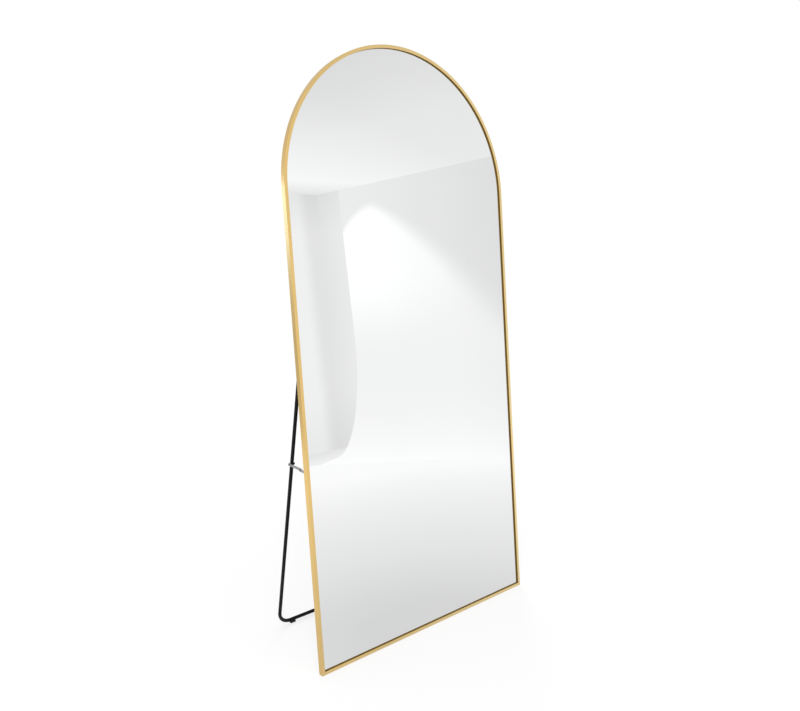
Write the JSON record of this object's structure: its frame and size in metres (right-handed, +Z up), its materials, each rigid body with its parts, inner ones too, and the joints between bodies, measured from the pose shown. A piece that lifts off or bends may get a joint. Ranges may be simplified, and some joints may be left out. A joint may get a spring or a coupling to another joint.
{
  "type": "leaning floor mirror",
  "caption": "Tall arched floor mirror in a thin gold aluminium frame, leaning on a folding U-shaped tube stand held open by hinged side stays.",
  "frame": {"origin": "on the floor, under the middle of the object's box, with the stand open", "axes": "+X to the right seen from the front, +Y backwards from the glass towards the stand's foot bar, +Z up"},
  "size_m": [0.85, 0.3174, 1.7934],
  "materials": {
    "gold_frame": "brushed, gold anodised, satin",
    "mirror_glass": "silvered float glass",
    "backing_board": "fibreboard with a dark laminate",
    "corner_key": "mill finish",
    "black_steel": "black powder coat, satin",
    "zinc_steel": "bright zinc plate",
    "foot_rubber": "matt black rubber",
    "nylon": "natural nylon"
  },
  "bodies": {
    "mirror": {"backing_board": "backing_board", "corner_key_left": "corner_key", "corner_key_right": "corner_key", "corner_plate_left": "zinc_steel", "corner_plate_right": "zinc_steel", "corner_screw_bottom_left": "zinc_steel", "corner_screw_bottom_right": "zinc_steel", "corner_screw_side_left": "zinc_steel", "corner_screw_side_right": "zinc_steel", "frame_arch": "gold_frame", "frame_bottom_rail": "gold_frame", "hanger_plate_left": "zinc_steel", "hanger_plate_right": "zinc_steel", "hanger_screw_lower_left": "zinc_steel", "hanger_screw_lower_right": "zinc_steel", "hanger_screw_upper_left": "zinc_steel", "hanger_screw_upper_right": "zinc_steel", "hinge_bolt_left": "zinc_steel", "hinge_bolt_right": "zinc_steel", "hinge_bracket_left": "black_steel", "hinge_bracket_right": "black_steel", "hinge_nut_left": "zinc_steel", "hinge_nut_right": "zinc_steel", "hinge_screw_lower_left": "zinc_steel", "hinge_screw_lower_right": "zinc_steel", "hinge_screw_upper_left": "zinc_steel", "hinge_screw_upper_right": "zinc_steel", "hinge_washer_left": "nylon", "hinge_washer_right": "nylon", "mirror_glass": "mirror_glass", "stay_bracket_left": "zinc_steel", "stay_bracket_right": "zinc_steel", "stay_pivot_left": "zinc_steel", "stay_pivot_right": "zinc_steel", "stay_screw_lower_left": "zinc_steel", "stay_screw_lower_right": "zinc_steel", "stay_screw_upper_left": "zinc_steel", "stay_screw_upper_right": "zinc_steel"},
    "stand": {"foot_pad_left": "foot_rubber", "foot_pad_right": "foot_rubber", "stand_tube": "black_steel", "stay_bolt_left": "zinc_steel", "stay_bolt_right": "zinc_steel", "stay_nut_left": "zinc_steel", "stay_nut_right": "zinc_steel", "stay_spacer_left": "nylon", "stay_spacer_right": "nylon"},
    "stay_front_left": {"stay_front_strap_left": "zinc_steel", "knee_rivet_front_left": "zinc_steel"},
    "stay_rear_left": {"stay_rear_strap_left": "zinc_steel", "knee_rivet_rear_left": "zinc_steel"},
    "stay_front_right": {"stay_front_strap_right": "zinc_steel", "knee_rivet_front_right": "zinc_steel"},
    "stay_rear_right": {"stay_rear_strap_right": "zinc_steel", "knee_rivet_rear_right": "zinc_steel"}
  },
  "joints": [
    {"name": "stand_fold", "type": "hinge", "parent": "mirror", "child": "stand", "pos_m": [0, -0.03388, 1.00627], "axis": [-1, 0, 0], "range_deg": [0, 16.08]},
    {"name": "stay_front_left", "type": "hinge", "parent": "mirror", "child": "stay_front_left", "pos_m": [-0.39435, -0.07529, 0.573], "axis": [1, 0, 0], "range_deg": [0, 84.6]},
    {"name": "stay_rear_left", "type": "hinge", "parent": "stand", "child": "stay_rear_left", "pos_m": [-0.39035, 0.04736, 0.573], "axis": [-1, 0, 0], "range_deg": [0, 79.4]},
    {"name": "stay_front_right", "type": "hinge", "parent": "mirror", "child": "stay_front_right", "pos_m": [0.39435, -0.07529, 0.573], "axis": [1, 0, 0], "range_deg": [0, 84.6]},
    {"name": "stay_rear_right", "type": "hinge", "parent": "stand", "child": "stay_rear_right", "pos_m": [0.39035, 0.04736, 0.573], "axis": [-1, 0, 0], "range_deg": [0, 79.4]}
  ],
  "couplings": [
    {"joint": "stay_front_left", "follows": "stand_fold", "ratio": 5.2575},
    {"joint": "stay_rear_left", "follows": "stand_fold", "ratio": 4.9366},
    {"joint": "stay_front_right", "follows": "stand_fold", "ratio": 5.2575},
    {"joint": "stay_rear_right", "follows": "stand_fold", "ratio": 4.9366}
  ]
}
